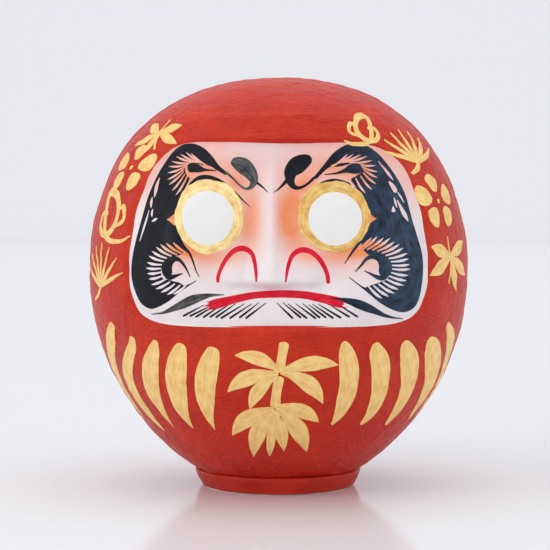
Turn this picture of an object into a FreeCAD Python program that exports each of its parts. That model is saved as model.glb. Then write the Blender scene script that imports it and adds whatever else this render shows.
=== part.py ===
"""Daruma doll: a hollow papier-mache tumbler doll on a weighted foot, 241 mm tall.

Frame: millimetres, +Z up, the doll faces -Y, origin at the centre of the underside.

The doll is a paper shell in two halves that meet in the plane Y = 0. Two paper strips and a round
patch close that joint. The shell sits in a foot ring, and a clay weight, a board and a paper
underside fill the foot. Nothing on the doll moves.
"""

import FreeCAD, Part

import math
import os

import Sketcher

Vector = FreeCAD.Vector

# ---------------------------------------------------------------- driving dimensions, in millimetres
SIZES = {
    "body_radius": 111.0,  # of the paper shell, at its widest
    "waist_height": 122.5,  # of the widest place, above the table
    "crown_height": 240.4,  # of the shell's top, before the patch
    "bowl_depth": 126.8,  # from the waist down to where the bowl would close
    "crown_power": 2.27,  # 2 would be an ellipse, and more makes the shoulders fuller
    "bowl_power": 1.85,  # less than 2 makes the bowl run straighter to the foot
    "paper_wall": 2.2,
    "crown_hole": 7.0,  # radius of the hole that the crown patch covers
    "patch_radius": 17.0,
    "strip_width": 18.0,
    "strip_thickness": 0.45,
    "glue_line": 0.03,
    "foot_radius": 44.8,  # of the foot where it stands
    "foot_rim_radius": 49.2,  # of the foot at its top edge
    "foot_height": 10.6,
    "shell_seat": 8.0,  # height of the ledge that carries the shell
    "foot_bore": 36.0,
    "board_thickness": 2.0,
    "underside_paper": 0.4,
    "weight_plug_radius": 32.0,
    "weight_bowl_radius": 43.0,
    "weight_height": 20.0,
    "running_gap": 0.2,
}

doc = FreeCAD.newDocument("daruma")
sheet = doc.addObject("Spreadsheet::Sheet", "Sizes")
for row, (alias, value) in enumerate(SIZES.items(), start=1):
    sheet.set(f"A{row}", alias)
    sheet.set(f"B{row}", str(value))
    sheet.setAlias(f"B{row}", alias)
doc.recompute()


def size(alias):
    """A driving dimension, as the sheet holds it."""
    return float(sheet.get(alias))


# ---------------------------------------------------------------- the round body, before its face
BODY_RADIUS = size("body_radius")
WAIST = size("waist_height")
CROWN_REACH = size("crown_height") - WAIST
BOWL_REACH = size("bowl_depth")
CROWN_POWER = size("crown_power")
BOWL_POWER = size("bowl_power")
WALL = size("paper_wall")


def body_radius(height, inset=0.0):
    """Radius of the round body at a height: one superellipse above the waist and one below it.

    inset moves the outline inwards all round, for the shell's inner side."""
    above = height > WAIST
    reach = (CROWN_REACH if above else BOWL_REACH) - inset
    power = CROWN_POWER if above else BOWL_POWER
    share = min(abs(height - WAIST) / reach, 1.0)
    return (BODY_RADIUS - inset) * (1 - share**power) ** (1 / power)


def crown_height_at(radius, inset=0.0):
    """Height of the round body's upper part at a radius from its axis."""
    share = min(radius / (BODY_RADIUS - inset), 1.0)
    return WAIST + (CROWN_REACH - inset) * (1 - share**CROWN_POWER) ** (1 / CROWN_POWER)


def outline(count, lowest, hole, inset=0.0):
    """(radius, height) points up the body's side, from the height lowest to the radius hole.

    Below the shoulder the points are evenly spaced in height, and above it in radius."""
    shoulder_height = WAIST + 0.75 * CROWN_REACH
    shoulder_radius = body_radius(shoulder_height, inset)
    side_count = round(count * 0.62)
    top_count = count - side_count
    side = []
    for i in range(side_count):
        height = lowest + (shoulder_height - lowest) * i / side_count
        side.append((body_radius(height, inset), height))
    top = []
    for i in range(top_count):
        radius = shoulder_radius + (hole - shoulder_radius) * i / (top_count - 1)
        top.append((radius, crown_height_at(radius, inset)))
    return side + top


# ---------------------------------------------------------------- the moulded face
FACE_TOP = 203.7
FACE_BOTTOM = 103.0
FACE_MIDDLE = (FACE_TOP + FACE_BOTTOM) / 2
FACE_HALF_HEIGHT = (FACE_TOP - FACE_BOTTOM) / 2
TOP_CORNER_POWER = 10  # the face's outline has tighter corners above than below
BOTTOM_CORNER_POWER = 7
CHEEK_HALF_WIDTH = 83.8
BROW_NARROWING = 21.0  # how much narrower the face is at its top, each side
HOOD_LIP = 2.0  # how far the face lies behind the hood round it
NOSE_OFFSET = 3.8  # the hand-made mould's nose stands this far to one side
NOSE_BOTTOM = 123.5
NOSE_ROOT = 197.0
NOSE_HEIGHT = 11.0
NOSTRIL_SPACING = 19.5  # half the distance between the nostrils' wings
NOSTRIL_HEIGHT = 132.0
EYE_SPACING = 34.0  # half the distance from eye to eye
EYE_HEIGHT = 162.5
EYE_RADIUS = 21.0


def smooth_step(low, high, value):
    """0 below low, 1 above high, and an S curve between them."""
    share = min(max((value - low) / (high - low), 0.0), 1.0)
    return share * share * (3 - 2 * share)


def soft_minimum(first, second, softness):
    """The smaller of two values, blended where they are within softness of each other."""
    share = min(max(0.5 + 0.5 * (second - first) / softness, 0.0), 1.0)
    return second * (1 - share) + first * share - softness * share * (1 - share)


def face_reach(across, height):
    """1 on the face's outline, which is a rounded trapezium, and less inside it."""
    rise = max(height - 127.0, 0.0) / 74.0
    half_width = CHEEK_HALF_WIDTH - BROW_NARROWING * rise**2.5
    power = TOP_CORNER_POWER if height > FACE_MIDDLE else BOTTOM_CORNER_POWER
    wide = abs(across) / half_width
    tall = abs(height - FACE_MIDDLE) / FACE_HALF_HEIGHT
    return (wide**power + tall**power) ** (1 / power)


def relief(across, height):
    """How far the nose, its wings, the eyes, the cheeks and the brow stand out of the flat face."""
    side = across + NOSE_OFFSET * max(1 - (across / 72.0) ** 2, 0.0)
    out = abs(side)
    drop = min(max((NOSE_ROOT - height) / (NOSE_ROOT - NOSE_BOTTOM), 0.0), 1.0)
    under = smooth_step(NOSE_BOTTOM - 1.0, NOSE_BOTTOM + 5.0, height)
    ridge = (math.hypot(side, 2.0) - 2.0) / (9.0 + 7.0 * drop)
    nose = NOSE_HEIGHT * drop**0.9 * max(1 - ridge, 0.0) ** 1.3 * under
    wing = ((out - NOSTRIL_SPACING) / 12.0) ** 2 + ((height - NOSTRIL_HEIGHT) / 12.0) ** 2
    wings = 4.5 * math.exp(-(wing**1.5)) * under
    eye = math.hypot(out - EYE_SPACING, height - EYE_HEIGHT) / EYE_RADIUS
    eyes = 2.4 * max(1 - eye**2, 0.0) ** 1.5
    cheeks = 3.0 * math.exp(-(((out - 62.0) / 20.0) ** 2) - ((height - 138.0) / 28.0) ** 2)
    brow = -2.0 * math.exp(-(((height - 190.0) / 9.0) ** 2) - (across / 45.0) ** 2)
    return nose + wings + eyes + cheeks + brow


def recess(angle, height):
    """How far the front lies inside the round body, at an angle from the nose and a height.

    The hood over the face is flatter than the dome, with a crease where they meet. The face is a
    plane that leans back behind it."""
    if abs(angle) > math.radians(75) or not 90.0 < height < 228.0:
        return 0.0
    radius = body_radius(height)
    across = radius * math.sin(angle)
    forward = math.cos(angle)
    hooded = radius
    if height > 150.0:
        hood = (71.0 + 0.6 * (219.0 - height)) / math.cos(0.35 * angle)
        hooded = soft_minimum(radius, hood, 3.0)
    plane = (77.5 + 0.267 * (FACE_TOP - height)) / forward
    face = soft_minimum(hooded - HOOD_LIP, plane, 6.0) + relief(across, height)
    inside = 1 - smooth_step(0.99, 1.05, face_reach(across, height))
    return radius - (hooded * (1 - inside) + face * inside)


# ---------------------------------------------------------------- solids between two curved skins
def skin(points, parts):
    """A smooth surface through rows of points, cut along its knots into rows and columns of patches.

    The solid's volume is worked out patch by patch, and comes out right only on small ones."""
    whole = Part.BSplineSurface()
    whole.interpolate(points)
    cuts = []
    for knots, count in zip((whole.getUKnots(), whole.getVKnots()), parts):
        cuts.append([knots[round((len(knots) - 1) * k / count)] for k in range(count + 1)])
    patches = []
    for low_u, high_u in zip(cuts[0], cuts[0][1:]):
        row = []
        for low_v, high_v in zip(cuts[1], cuts[1][1:]):
            patch = whole.copy()
            patch.segment(low_u, high_u, low_v, high_v)
            row.append(patch)
        patches.append(row)
    return patches


def border(patches):
    """The curves round a skin's edge, one for each patch that touches it."""
    curves = []
    for row, k in ((patches[0], 0), (patches[-1], 1)):
        curves += [patch.uIso(patch.bounds()[k]) for patch in row]
    for column, k in ((0, 2), (-1, 3)):
        curves += [row[column].vIso(row[column].bounds()[k]) for row in patches]
    return curves


def thick_patch(outer_points, inner_points, parts):
    """The solid between two skins that have the same number of points each way."""
    outer, inner = skin(outer_points, parts), skin(inner_points, parts)
    faces = [patch.toShape() for row in outer + inner for patch in row]
    for outer_curve, inner_curve in zip(border(outer), border(inner)):
        faces.append(Part.makeRuledSurface(outer_curve.toShape(), inner_curve.toShape()))
    shell = Part.makeShell(faces)
    shell.sewShape(0.01)
    solid = Part.makeSolid(shell if shell.ShapeType == "Shell" else shell.Shells[0])
    if solid.Volume < 0:
        solid.reverse()
    return solid


def add_shape(name, shape):
    """Keeps a solid that Part's own functions made as an object of the document."""
    piece = doc.addObject("Part::Feature", name)
    piece.Label = name
    piece.Shape = shape
    return piece


# ---------------------------------------------------------------- sketches for turned pieces
def turned_body(name, corners, rounded=(), radius="1 mm"):
    """A PartDesign body turned about Z from a closed outline.

    corners are (radius, height) pairs of expressions. rounded picks corners, counted from 0,
    whose turned edge gets a fillet."""
    body = doc.addObject("PartDesign::Body", name)
    body.Label = name
    sketch = body.newObject("Sketcher::SketchObject", name + "_outline")
    plane = next(p for p in body.Origin.OriginFeatures if p.Role == "XZ_Plane")
    sketch.AttachmentSupport = [(plane, "")]
    sketch.MapMode = "FlatFace"
    count = len(corners)
    places = [Vector(10 + 5 * math.cos(-k * 6.28 / count), 10 + 5 * math.sin(-k * 6.28 / count), 0)
              for k in range(count)]
    for k in range(count):
        sketch.addGeometry(Part.LineSegment(places[k], places[(k + 1) % count]), False)
    for k in range(count):
        sketch.addConstraint(Sketcher.Constraint("Coincident", k, 2, (k + 1) % count, 1))
    for k, (across, height) in enumerate(corners):
        if across == "0 mm":
            sketch.addConstraint(Sketcher.Constraint("PointOnObject", k, 1, -2))
        else:
            at = sketch.addConstraint(Sketcher.Constraint("DistanceX", -1, 1, k, 1, 1.0 + k))
            sketch.setExpression(f"Constraints[{at}]", across)
        if height == "0 mm":
            sketch.addConstraint(Sketcher.Constraint("PointOnObject", k, 1, -1))
        else:
            at = sketch.addConstraint(Sketcher.Constraint("DistanceY", -1, 1, k, 1, 1.0 + k))
            sketch.setExpression(f"Constraints[{at}]", height)
    doc.recompute()
    turn = body.newObject("PartDesign::Revolution", name + "_turned")
    turn.Profile = sketch
    turn.ReferenceAxis = (sketch, ["V_Axis"])
    turn.Angle = 360
    doc.recompute()
    if rounded:
        fillet = body.newObject("PartDesign::Fillet", name + "_rounded")
        fillet.Base = (turn, turned_edges(turn.Shape, sketch, rounded))
        fillet.setExpression("Radius", radius)
        body.Tip = fillet
    doc.recompute()
    return body


def turned_edges(shape, sketch, corners):
    """Names of the round edges that the sketch's corners made."""
    names = []
    for corner in corners:
        place = sketch.Geometry[corner].StartPoint
        for index, edge in enumerate(shape.Edges, start=1):
            curve = edge.Curve
            if (
                hasattr(curve, "Radius")
                and abs(curve.Radius - place.x) < 1e-4
                and abs(curve.Center.z - place.y) < 1e-4
            ):
                names.append(f"Edge{index}")
    return names


# ---------------------------------------------------------------- front half of the shell
ROWS = 90
FRONT_COLUMNS = 73
SEAT = size("shell_seat")
CROWN_HOLE = size("crown_hole")


def front_skin(inset):
    """Rows of points over the front half, from one side joint round the face to the other."""
    rows = []
    outer_line = outline(ROWS, SEAT, CROWN_HOLE)
    inner_line = outline(ROWS, SEAT, CROWN_HOLE, inset)
    for (_, outer_height), (radius, height) in zip(outer_line, inner_line):
        row = []
        for column in range(FRONT_COLUMNS):
            angle = math.pi * (column / (FRONT_COLUMNS - 1) - 0.5)
            reach = radius - recess(angle, outer_height)
            row.append(Vector(reach * math.sin(angle), -reach * math.cos(angle), height))
        rows.append(row)
    return rows


def make_front_shell():
    """Moulded paper half with the hood, the face and the front of the robe."""
    return add_shape("front_shell", thick_patch(front_skin(0.0), front_skin(WALL), (6, 6)))


# ---------------------------------------------------------------- back half of the shell
def spline_through(points):
    """A smooth curve through (radius, height) points of a sketch."""
    curve = Part.BSplineCurve()
    curve.interpolate([Vector(x, y, 0) for x, y in points])
    return curve


def make_back_shell():
    """Moulded paper half without features: the outline of the wall, turned half a circle."""
    body = doc.addObject("PartDesign::Body", "back_shell")
    sketch = body.newObject("Sketcher::SketchObject", "back_shell_outline")
    plane = next(p for p in body.Origin.OriginFeatures if p.Role == "XZ_Plane")
    sketch.AttachmentSupport = [(plane, "")]
    sketch.MapMode = "FlatFace"
    outer = outline(ROWS, SEAT, CROWN_HOLE)
    inner = outline(ROWS, SEAT, CROWN_HOLE, WALL)
    curves = [
        spline_through(outer),
        Part.LineSegment(Vector(*outer[-1], 0), Vector(*inner[-1], 0)),
        spline_through(inner[::-1]),
        Part.LineSegment(Vector(*inner[0], 0), Vector(*outer[0], 0)),
    ]
    for curve in curves:
        sketch.addGeometry(curve, False)
    for index in range(len(curves)):
        sketch.addConstraint(Sketcher.Constraint("Block", index))
    doc.recompute()
    turn = body.newObject("PartDesign::Revolution", "back_shell_turned")
    turn.Profile = sketch
    turn.ReferenceAxis = (sketch, ["V_Axis"])
    turn.Angle = 180
    doc.recompute()
    if body.Shape.BoundBox.YMin < -1:
        turn.Reversed = True
        doc.recompute()
    return body


# ---------------------------------------------------------------- paper over the joint
def make_seam_strip(name, side):
    """Paper strip over one side joint, from the foot ring up to the crown patch."""
    half_width = size("strip_width") / 2
    lift, thickness = size("glue_line"), size("strip_thickness")
    line = outline(60, size("foot_height") + 0.6, size("patch_radius") + 0.1)
    outer, inner = [], []
    for points, rise in ((outer, lift + thickness), (inner, lift)):
        for radius, height in line:
            slope = math.atan2(height - WAIST, radius)
            row = []
            for column in range(7):
                across = half_width * (column / 3 - 1)
                reach = math.sqrt(radius**2 - across**2) + rise * math.cos(slope)
                row.append(Vector(side * reach, across, height + rise * math.sin(slope)))
            points.append(row)
    return add_shape(name, thick_patch(outer, inner, (4, 1)))


def make_crown_patch():
    """Round paper patch over the hole at the crown, where the two strips end."""
    patch = doc.addObject("Part::Common", "crown_patch")
    balls = []
    edge, top = size("patch_radius"), size("crown_height")
    sag = top - crown_height_at(edge)
    bend = (edge**2 + sag**2) / (2 * sag)
    for name, rise in (("patch_outside", "strip_thickness"), ("patch_inside", None)):
        ball = doc.addObject("Part::Sphere", name)
        lift = " + Sizes.strip_thickness" if rise else ""
        ball.setExpression("Radius", f"{bend:.6f} + Sizes.glue_line{lift}")
        ball.setExpression("Placement.Base.z", f"Sizes.crown_height - {bend:.6f}")
        balls.append(ball)
    skin_of_ball = doc.addObject("Part::Cut", "patch_paper")
    skin_of_ball.Base, skin_of_ball.Tool = balls
    punch = doc.addObject("Part::Cylinder", "patch_punch")
    punch.setExpression("Radius", "Sizes.patch_radius")
    punch.Height = 20
    punch.setExpression("Placement.Base.z", "Sizes.crown_height - 10")
    patch.Base, patch.Tool = skin_of_ball, punch
    return patch


# ---------------------------------------------------------------- the weighted foot
def make_foot_ring():
    """Pulp ring that the shell is glued into: a low flared band with a ledge inside."""
    gap = size("running_gap")
    lip = body_radius(size("foot_height")) + gap
    seat = body_radius(SEAT) + gap
    return turned_body(
        "foot_ring",
        [
            ("Sizes.foot_bore", "Sizes.underside_paper"),
            ("Sizes.foot_radius", "Sizes.underside_paper"),
            ("Sizes.foot_radius + 2.4", "Sizes.foot_height * 0.45"),
            ("Sizes.foot_rim_radius", "Sizes.foot_height - 1.6"),
            ("Sizes.foot_rim_radius - 0.6", "Sizes.foot_height"),
            (f"{lip:.4f}", "Sizes.foot_height"),
            (f"{seat:.4f}", "Sizes.shell_seat"),
            ("Sizes.foot_bore", "Sizes.shell_seat"),
        ],
        rounded=(2, 3),
    )


def make_clay_weight():
    """Sun-dried clay: a plug in the foot's bore that spreads over the bottom of the shell."""
    return turned_body(
        "clay_weight",
        [
            ("0 mm", "Sizes.underside_paper + Sizes.board_thickness"),
            ("Sizes.weight_plug_radius", "Sizes.underside_paper + Sizes.board_thickness"),
            ("Sizes.weight_plug_radius", "Sizes.shell_seat + 1"),
            ("Sizes.weight_bowl_radius - 3.5", "Sizes.weight_height - 7"),
            ("Sizes.weight_bowl_radius", "Sizes.weight_height - 2.5"),
            ("Sizes.weight_bowl_radius - 3", "Sizes.weight_height"),
            ("0 mm", "Sizes.weight_height - 3"),
        ],
        rounded=(4, 5),
    )


def make_base_board():
    """Cardboard disc under the weight."""
    board = doc.addObject("Part::Cylinder", "base_board")
    board.setExpression("Radius", "Sizes.foot_bore - Sizes.running_gap")
    board.setExpression("Height", "Sizes.board_thickness")
    board.setExpression("Placement.Base.z", "Sizes.underside_paper")
    return board


def make_base_paper():
    """Paper disc glued over the whole underside, on which the doll stands."""
    paper = doc.addObject("Part::Cylinder", "base_paper")
    paper.setExpression("Radius", "Sizes.foot_radius - 1.2")
    paper.setExpression("Height", "Sizes.underside_paper")
    return paper


# ---------------------------------------------------------------- build, check and write
pieces = [
    make_front_shell(),
    make_back_shell(),
    make_seam_strip("seam_strip_left", -1),
    make_seam_strip("seam_strip_right", 1),
    make_crown_patch(),
    make_foot_ring(),
    make_clay_weight(),
    make_base_board(),
    make_base_paper(),
]
doc.recompute()

for item in doc.Objects:
    if "Invalid" in item.State or "Error" in item.State:
        raise RuntimeError(f"{item.Label} failed: {item.State}")
os.makedirs("parts", exist_ok=True)
for piece in pieces:
    shape = piece.Shape
    if shape.isNull() or not shape.isValid() or len(shape.Solids) != 1:
        raise RuntimeError(f"{piece.Label} is not one valid solid")
    box = shape.BoundBox
    print(f"{piece.Label:18s} {shape.Volume / 1000:8.2f} cm3  "
          f"x {box.XMin:7.2f} {box.XMax:7.2f}  y {box.YMin:7.2f} {box.YMax:7.2f}  "
          f"z {box.ZMin:7.2f} {box.ZMax:7.2f}")
    shape.exportStep(f"parts/{piece.Label}.step")
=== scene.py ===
import math

import bpy
import numpy as np
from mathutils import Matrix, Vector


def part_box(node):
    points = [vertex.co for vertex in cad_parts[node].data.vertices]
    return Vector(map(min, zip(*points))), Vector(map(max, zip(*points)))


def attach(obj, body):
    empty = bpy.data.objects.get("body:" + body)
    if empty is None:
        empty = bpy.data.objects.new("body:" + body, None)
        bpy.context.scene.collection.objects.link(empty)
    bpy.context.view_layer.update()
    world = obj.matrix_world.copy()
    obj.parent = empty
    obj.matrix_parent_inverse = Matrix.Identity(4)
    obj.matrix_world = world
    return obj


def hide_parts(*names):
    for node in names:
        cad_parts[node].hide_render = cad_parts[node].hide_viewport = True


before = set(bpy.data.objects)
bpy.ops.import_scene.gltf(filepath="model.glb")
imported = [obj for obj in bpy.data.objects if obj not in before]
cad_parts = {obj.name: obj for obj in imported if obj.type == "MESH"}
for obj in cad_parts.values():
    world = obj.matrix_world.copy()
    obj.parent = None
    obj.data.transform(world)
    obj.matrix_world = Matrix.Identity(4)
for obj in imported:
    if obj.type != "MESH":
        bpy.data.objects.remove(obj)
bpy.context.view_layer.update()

# Front half of the shell: paper pulp pressed into a wooden mould, with the hood, the sunken face
# and the front of the robe. It is dipped in red colour, so its crinkles show under the coat.
MM = 0.001
BODY = "root"

back_low, back_high = (np.array(corner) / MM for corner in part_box("back_shell"))
BODY_RADIUS = back_high[0]
CROWN = back_high[2]
SHELL_FOOT = back_low[2]
WAIST = 0.5098 * CROWN
CROWN_REACH = CROWN - WAIST
BOWL_REACH = WAIST + 4.3
CROWN_POWER = 2.27
BOWL_POWER = 1.85
CROWN_HOLE = 7.0
PAPER_WALL = 2.2
SHELL_GRAIN = 1.18  # spacing of the shell's mesh

FACE_TOP = 203.7
FACE_BOTTOM = 103.0
GROUND_BOTTOM = 102.2
FACE_MIDDLE = (FACE_TOP + FACE_BOTTOM) / 2
FACE_HALF_HEIGHT = (FACE_TOP - FACE_BOTTOM) / 2
CHEEK_HALF_WIDTH = 83.8
CHEEK_HEIGHT = 127.0
BROW_NARROWING = 21.0
BROW_REACH = 74.0
HOOD_LIP = 2.0
HOOD_TURN = 1.31  # the front half's recess ends at this angle, in radians
HOOD_BOTTOM = 150.0
FRONT_BOTTOM = 90.0
NOSE_OFFSET = 3.8
NOSE_FADE = 72.0
NOSE_BOTTOM = 123.5
NOSE_ROOT = 197.0
NOSE_HEIGHT = 11.0

rng = np.random.default_rng(24)


def body_radius(height):
    """Radius of the round body: a full superellipse above the waist and a lean one below it."""
    above = height > WAIST
    reach = np.where(above, CROWN_REACH, BOWL_REACH)
    power = np.where(above, CROWN_POWER, BOWL_POWER)
    share = np.clip(np.abs(height - WAIST) / reach, 0, 1)
    return BODY_RADIUS * (1 - share**power) ** (1 / power)


def body_normal(radius, height):
    """The round body's outward direction as (sideways, up): the gradient of its outline's formula."""
    above = height > WAIST
    reach = np.where(above, CROWN_REACH, BOWL_REACH)
    power = np.where(above, CROWN_POWER, BOWL_POWER)
    sideways = power / BODY_RADIUS * np.clip(radius / BODY_RADIUS, 0, 1) ** (power - 1)
    up = power / reach * np.clip(np.abs(height - WAIST) / reach, 0, 1) ** (power - 1)
    up = np.where(above, up, -up)
    length = np.hypot(sideways, up)
    return sideways / length, up / length


def smooth_step(low, high, value):
    """0 below low, 1 above high, and an S curve between them."""
    share = np.clip((value - low) / (high - low), 0, 1)
    return share * share * (3 - 2 * share)


def soft_minimum(first, second, softness):
    """The smaller of two values, blended where they are within softness of each other."""
    share = np.clip(0.5 + 0.5 * (second - first) / softness, 0, 1)
    return second * (1 - share) + first * share - softness * share * (1 - share)


def face_half_width(height):
    """Half the face's width, which narrows above the cheeks by a power of the height."""
    return CHEEK_HALF_WIDTH - BROW_NARROWING * (np.clip(height - CHEEK_HEIGHT, 0, None) / BROW_REACH) ** 2.5


def corner_power(height):
    """How square the face's corners are: the upper two are squarer than the lower two."""
    return np.where(height > FACE_MIDDLE, 10.0, 7.0)


def jaw_slimming(height):
    """How much narrower the painted white is than the face, at the jaw."""
    return 1.4 * np.exp(-(((height - 115) / 7) ** 2))


def face_reach(across, height):
    """1 on the face's outline and less inside it: a superellipse in a trapezium."""
    power = corner_power(height)
    wide = np.abs(across) / face_half_width(height)
    tall = np.abs(height - FACE_MIDDLE) / FACE_HALF_HEIGHT
    return (wide**power + tall**power) ** (1 / power)


def ground_reach(across, height):
    """1 on the edge of the painted white, which runs a little over the face's edge at the chin."""
    power = corner_power(height)
    half_height = np.where(height > FACE_MIDDLE, FACE_HALF_HEIGHT, FACE_MIDDLE - GROUND_BOTTOM)
    wide = np.abs(across) / (face_half_width(height) - jaw_slimming(height))
    return (wide**power + (np.abs(height - FACE_MIDDLE) / half_height) ** power) ** (1 / power)


def nose_side(across):
    """Distance from the nose's ridge, which stands a little to one side at the middle of the face."""
    return across + NOSE_OFFSET * np.clip(1 - (across / NOSE_FADE) ** 2, 0, None)


def face_relief(across, height):
    """Height of the nose, its wings, the eyes, the cheeks and the brow above the flat face.

    The nose is a wedge that grows downwards, and the others are bell-shaped or round domes."""
    side = nose_side(across)
    out = np.abs(side)
    drop = np.clip((NOSE_ROOT - height) / (NOSE_ROOT - NOSE_BOTTOM), 0, 1)
    under = smooth_step(NOSE_BOTTOM - 1, NOSE_BOTTOM + 5, height)
    ridge = (np.hypot(side, 2.0) - 2.0) / (9 + 7 * drop)
    nose = NOSE_HEIGHT * drop**0.9 * np.clip(1 - ridge, 0, None) ** 1.3 * under
    wing = ((out - 19.5) / 12) ** 2 + ((height - 132) / 12) ** 2
    eye = np.hypot(out - 34, height - 162.5) / 21
    cheek = ((out - 62) / 20) ** 2 + ((height - 138) / 28) ** 2
    brow = ((height - 190) / 9) ** 2 + (across / 45) ** 2
    domes = 4.5 * np.exp(-(wing**1.5)) * under + 2.4 * np.clip(1 - eye**2, 0, None) ** 1.5
    return nose + domes + 3.0 * np.exp(-cheek) - 2.0 * np.exp(-brow)


def recess(angle, height):
    """How far the front lies inside the round body: the hood is flatter, the face a leaning plane."""
    radius = body_radius(height)
    turn = np.clip(angle, -HOOD_TURN, HOOD_TURN)
    across = radius * np.sin(angle)
    flat = (71 + 0.6 * (219 - height)) / np.cos(0.35 * turn)
    ridge = 0.28 * np.exp(-(((radius - flat) / 0.7) ** 2)) * (1 + 0.6 * np.sin(across / 1.3))
    hooded = np.where(height > HOOD_BOTTOM, soft_minimum(radius, flat, 1.4) + ridge, radius)
    plane = (77.5 + 0.267 * (FACE_TOP - height)) / np.cos(turn)
    face = soft_minimum(hooded - HOOD_LIP, plane, 6.0) + face_relief(across, height)
    inside = 1 - smooth_step(0.99, 1.05, face_reach(across, height))
    depth = radius - (hooded * (1 - inside) + face * inside)
    return np.where((np.abs(angle) < HOOD_TURN) & (height > FRONT_BOTTOM), depth, 0.0)


def wave_set(count, shortest, longest):
    """Random plane waves (direction times wave number, phase) for the pulp's crinkles, mostly upright."""
    heading = rng.normal(size=(count, 3)) * (1.0, 1.0, 1.5)
    heading /= np.linalg.norm(heading, axis=1, keepdims=True)
    wave_length = rng.uniform(shortest, longest, count)
    return heading * (2 * math.pi / wave_length)[:, None], rng.uniform(0, 2 * math.pi, count)


SWELLS = wave_set(14, 26.0, 60.0)
CREASES = wave_set(16, 9.0, 15.0)
DIMPLES = wave_set(16, 6.0, 9.0)


def ripple(waves, place):
    """Sum of the plane waves at each place, scaled to about -1 to 1."""
    total = np.zeros(place.shape[:-1])
    for heading, phase in zip(*waves):
        total += np.sin(place @ heading + phase)
    return total / math.sqrt(2 * len(waves[1]))


def crinkle(place, calm):
    """Unevenness of the pulp: long swells, sharp-edged creases and small dimples.

    calm is 1 on the smooth white face and 0 on the robe."""
    creases = 0.5 - np.abs(ripple(CREASES, place))
    rough = 0.26 * creases + 0.11 * ripple(DIMPLES, place)
    return 0.40 * ripple(SWELLS, place) + rough * (1 - 0.8 * calm)


def on_round(radius, angle, height, rise, dent=0.0):
    """Points on the doll: the body's outline turned by angle, less the dent, plus rise along its normal."""
    reach = radius - dent
    place = np.stack([reach * np.sin(angle), -reach * np.cos(angle), height + 0 * angle], axis=-1)
    sideways, up = body_normal(radius, height)
    normal = np.stack([sideways * np.sin(angle), -sideways * np.cos(angle), up + 0 * angle], axis=-1)
    across = radius * np.sin(angle)
    facing = (np.cos(angle) > 0) & (height > FRONT_BOTTOM)
    calm = np.where(facing, 1 - smooth_step(0.97, 1.05, face_reach(across, height)), 0.0)
    return place + (rise + crinkle(place, calm))[..., None] * normal


def body_outline(spacing, lowest, hole):
    """(radius, height) of evenly spaced places up the body's side, from a height to the crown's hole."""
    bowl = np.linspace(math.asin(((WAIST - lowest) / BOWL_REACH) ** (BOWL_POWER / 2)), 0, 900, endpoint=False)
    dome = np.linspace(0, math.acos((hole / BODY_RADIUS) ** (CROWN_POWER / 2)), 900)
    lean, full = 2 / BOWL_POWER, 2 / CROWN_POWER
    radius = BODY_RADIUS * np.concatenate([np.cos(bowl) ** lean, np.cos(dome) ** full])
    height = WAIST + np.concatenate([-BOWL_REACH * np.sin(bowl) ** lean, CROWN_REACH * np.sin(dome) ** full])
    walked = np.concatenate([[0], np.cumsum(np.hypot(np.diff(radius), np.diff(height)))])
    count = 4 * round(walked[-1] / spacing / 4) + 1
    even = np.linspace(0, walked[-1], count)
    return np.interp(even, walked, radius), np.interp(even, walked, height)


def rim(outer, inner, stride):
    """Wall polygons between an edge of the outside and the coarser edge of the inside."""
    first = np.arange(len(inner) - 1)[:, None] * stride
    along = outer[first + np.arange(stride, -1, -1)]
    return np.hstack([along, inner[:-1, None], inner[1:, None]]).tolist()


def sheet_faces(rows, columns, stride, closed, start):
    """Faces of one closed sheet: quads outside, quads inside, and a wall round its edge.

    The inside has every stride-th row and column. closed joins the last row to the first."""
    outside = start + np.arange(rows * columns).reshape(rows, columns)
    inner_rows, inner_columns = (rows - 1) // stride + 1, (columns - 1) // stride + 1
    inside = start + rows * columns + np.arange(inner_rows * inner_columns)
    inside = inside.reshape(inner_rows, inner_columns)
    if closed:
        outside = np.vstack([outside, outside[:1]])
        inside = np.vstack([inside, inside[:1]])
    faces = []
    for grid, order in ((outside, (0, 1, 2, 3)), (inside, (3, 2, 1, 0))):
        corners = (grid[:-1, :-1], grid[:-1, 1:], grid[1:, 1:], grid[1:, :-1])
        faces += np.stack([corners[i].ravel() for i in order], axis=1).tolist()
    faces += rim(outside[:, -1], inside[:, -1], stride)
    faces += rim(outside[::-1, 0], inside[::-1, 0], stride)
    if not closed:
        faces += rim(outside[0], inside[0], stride)
        faces += rim(outside[-1, ::-1], inside[-1, ::-1], stride)
    return faces


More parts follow.
